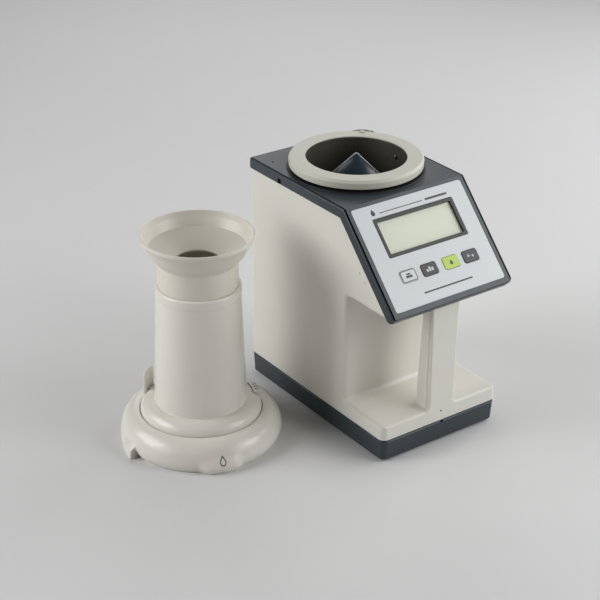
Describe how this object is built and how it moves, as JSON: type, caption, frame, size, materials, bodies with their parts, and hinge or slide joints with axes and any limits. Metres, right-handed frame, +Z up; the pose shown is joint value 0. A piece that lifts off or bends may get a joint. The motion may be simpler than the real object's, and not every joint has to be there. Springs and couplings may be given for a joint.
{
  "type": "grain moisture meter",
  "caption": "Benchtop grain moisture meter with a sloping display panel, an open measuring cell with a centre cone, a grip post, and a separate sample loader with a funnel and a shutter.",
  "frame": {"origin": "centre of the footprint of the meter and the loader beside it, on the table", "axes": "+X to the meter's right as seen from its front, +Y from its front to its back, +Z up"},
  "size_m": [0.2882, 0.2061, 0.2194],
  "materials": {
    "white_plastic": "fine moulded grain, satin",
    "navy_plastic": "fine moulded grain, satin",
    "loader_plastic": "smooth moulded, soft gloss",
    "ring_plastic": "smooth satin",
    "black_plastic": "matt",
    "foot_rubber": "matt",
    "panel_film": "printed film, fine texture",
    "bezel_plastic": "satin",
    "display_glass": "clear window over a grey-green display",
    "white_key": "satin film",
    "grey_key": "satin film",
    "green_key": "satin film",
    "circuit_board": "solder mask",
    "switch_plastic": "matt",
    "battery_sleeve": "printed sleeve",
    "steel": "plated",
    "aluminium": "machined",
    "electrode_metal": "dark, turned",
    "cone_plastic": "polished"
  },
  "bodies": {
    "meter": {"base_tray": "navy_plastic", "main_housing": "white_plastic", "top_cover": "navy_plastic", "panel_sheet": "panel_film", "lcd_bezel": "bezel_plastic", "lcd_glass": "display_glass", "display_module": "steel", "key_board": "circuit_board", "main_board": "circuit_board", "dust_ring": "black_plastic", "load_cell_post": "aluminium", "load_cell_beam": "aluminium", "battery_holder": "black_plastic", "battery_contacts_left": "steel", "battery_contacts_right": "steel", "serial_socket": "steel", "socket_screw_1": "steel", "socket_screw_2": "steel", "foot_1": "foot_rubber", "foot_2": "foot_rubber", "foot_3": "foot_rubber", "foot_4": "foot_rubber", "base_screw_1": "steel", "base_screw_2": "steel", "base_screw_3": "steel", "base_screw_4": "steel", "key_switch_1": "switch_plastic", "key_switch_2": "switch_plastic", "key_switch_3": "switch_plastic", "key_switch_4": "switch_plastic", "battery_1": "battery_sleeve", "battery_2": "battery_sleeve", "battery_3": "battery_sleeve", "battery_4": "battery_sleeve"},
    "print_key": {"print_key": "white_key"},
    "average_key": {"average_key": "grey_key"},
    "measure_key": {"measure_key": "green_key"},
    "select_key": {"select_key": "grey_key"},
    "measuring_cell": {"cell_rim": "ring_plastic", "rim_peg": "ring_plastic", "cell_wall": "electrode_metal", "cell_floor": "black_plastic", "centre_electrode": "electrode_metal", "centre_cone": "cone_plastic", "temperature_sensor": "steel", "cell_carrier": "aluminium", "sensor_board": "circuit_board", "cell_bracket": "aluminium"},
    "battery_cover": {"battery_door": "white_plastic"},
    "loader": {"loader_base": "loader_plastic", "outlet_plate": "loader_plastic", "sample_tube": "loader_plastic", "tube_clip": "loader_plastic", "loader_screw_1": "steel", "loader_screw_2": "steel", "loader_screw_3": "steel"},
    "shutter": {"shutter_disc": "black_plastic", "shutter_tab": "loader_plastic"},
    "funnel_cup": {"funnel": "loader_plastic"}
  },
  "joints": [
    {"name": "print_key_press", "type": "slide", "parent": "meter", "child": "print_key", "axis": [0, 0.7213, -0.6927], "range_m": [0, 0.0005], "stiffness_N_per_m": 300, "springref_m": -0.0005},
    {"name": "average_key_press", "type": "slide", "parent": "meter", "child": "average_key", "axis": [0, 0.7213, -0.6927], "range_m": [0, 0.0005], "stiffness_N_per_m": 300, "springref_m": -0.0005},
    {"name": "measure_key_press", "type": "slide", "parent": "meter", "child": "measure_key", "axis": [0, 0.7213, -0.6927], "range_m": [0, 0.0005], "stiffness_N_per_m": 300, "springref_m": -0.0005},
    {"name": "select_key_press", "type": "slide", "parent": "meter", "child": "select_key", "axis": [0, 0.7213, -0.6927], "range_m": [0, 0.0005], "stiffness_N_per_m": 300, "springref_m": -0.0005},
    {"name": "cell_weighing", "type": "slide", "parent": "meter", "child": "measuring_cell", "axis": [0, 0, 1], "range_m": [-0.0006, 0], "stiffness_N_per_m": 9000, "springref_m": 0.0008},
    {"name": "battery_door_hinge", "type": "hinge", "parent": "meter", "child": "battery_cover", "pos_m": [0.08157, 0.0951, 0.0386], "axis": [-1, 0, 0], "range_deg": [0, 100]},
    {"name": "loader_lift", "type": "slide", "parent": "meter", "child": "loader", "axis": [0, 0, 1], "range_m": [0, 0.23]},
    {"name": "shutter_turn", "type": "hinge", "parent": "loader", "child": "shutter", "pos_m": [-0.07168, 0.0357, 0.014], "axis": [0, 0, 1], "range_deg": [-45, 0]},
    {"name": "funnel_lift", "type": "slide", "parent": "loader", "child": "funnel_cup", "axis": [0, 0, 1], "range_m": [0, 0.05]}
  ]
}
